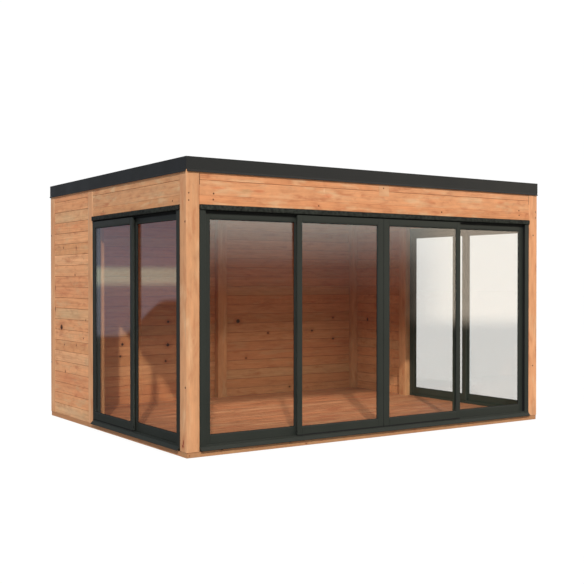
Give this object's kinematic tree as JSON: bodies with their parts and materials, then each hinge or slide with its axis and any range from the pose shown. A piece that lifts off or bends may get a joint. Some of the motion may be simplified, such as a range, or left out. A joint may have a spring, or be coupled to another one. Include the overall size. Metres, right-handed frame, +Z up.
{
  "type": "garden house",
  "caption": "Flat-roofed timber garden house with board walls, a board floor and glazed sliding doors on the front and both sides.",
  "frame": {"origin": "on the ground at the middle of the bounding box", "axes": "+Z up, the four-leaf glazed front faces -Y, +X to the right seen from the front"},
  "size_m": [4.146, 3.152, 2.45],
  "materials": {
    "frame_timber": "planed softwood, honey-orange stain",
    "board_timber": "planed tongue-and-groove softwood boards, honey-orange stain",
    "floor_timber": "oiled softwood floorboards",
    "roof_boards": "plain sheathing boards",
    "roof_membrane": "matt roofing sheet",
    "edge_metal": "dark grey coated sheet, low gloss",
    "door_metal": "anthracite powder coat, low gloss",
    "door_glass": "clear glazing"
  },
  "bodies": {
    "house": {"base_bearers_long": "frame_timber", "base_bearers_short": "frame_timber", "floor_joists": "frame_timber", "post_front_left": "frame_timber", "post_front_right": "frame_timber", "post_back_left": "frame_timber", "post_back_right": "frame_timber", "post_left_mid": "frame_timber", "post_right_mid": "frame_timber", "post_back_mid": "frame_timber", "top_plates_long": "frame_timber", "top_plates_short": "frame_timber", "roof_joists": "frame_timber", "left_wall_panel": "board_timber", "right_wall_panel": "board_timber", "back_wall_panels": "board_timber", "front_frieze": "board_timber", "side_friezes": "board_timber", "floor_deck": "floor_timber", "roof_deck": "roof_boards", "roof_membrane": "roof_membrane", "fascia_front": "edge_metal", "fascia_back": "edge_metal", "fascia_left": "edge_metal", "fascia_right": "edge_metal", "front_door_head": "door_metal", "front_door_sill": "door_metal", "front_door_jambs": "door_metal", "side_door_heads": "door_metal", "side_door_sills": "door_metal", "side_door_jambs": "door_metal", "front_fixed_leaf_frames": "door_metal", "left_fixed_leaf_frame": "door_metal", "right_fixed_leaf_frame": "door_metal", "front_fixed_leaf_glass": "door_glass", "left_fixed_leaf_glass": "door_glass", "right_fixed_leaf_glass": "door_glass"},
    "front_left_leaf": {"front_left_sliding_frame": "door_metal", "front_left_sliding_glass": "door_glass"},
    "front_right_leaf": {"front_right_sliding_frame": "door_metal", "front_right_sliding_glass": "door_glass"},
    "left_door_leaf": {"left_sliding_frame": "door_metal", "left_sliding_glass": "door_glass"},
    "right_door_leaf": {"right_sliding_frame": "door_metal", "right_sliding_glass": "door_glass"}
  },
  "joints": [
    {"name": "front_left_slide", "type": "slide", "parent": "house", "child": "front_left_leaf", "axis": [-1, 0, 0], "range_m": [0, 0.88]},
    {"name": "front_right_slide", "type": "slide", "parent": "house", "child": "front_right_leaf", "axis": [1, 0, 0], "range_m": [0, 0.88]},
    {"name": "left_door_slide", "type": "slide", "parent": "house", "child": "left_door_leaf", "axis": [0, -1, 0], "range_m": [0, 0.83]},
    {"name": "right_door_slide", "type": "slide", "parent": "house", "child": "right_door_leaf", "axis": [0, 1, 0], "range_m": [0, 0.83]}
  ]
}
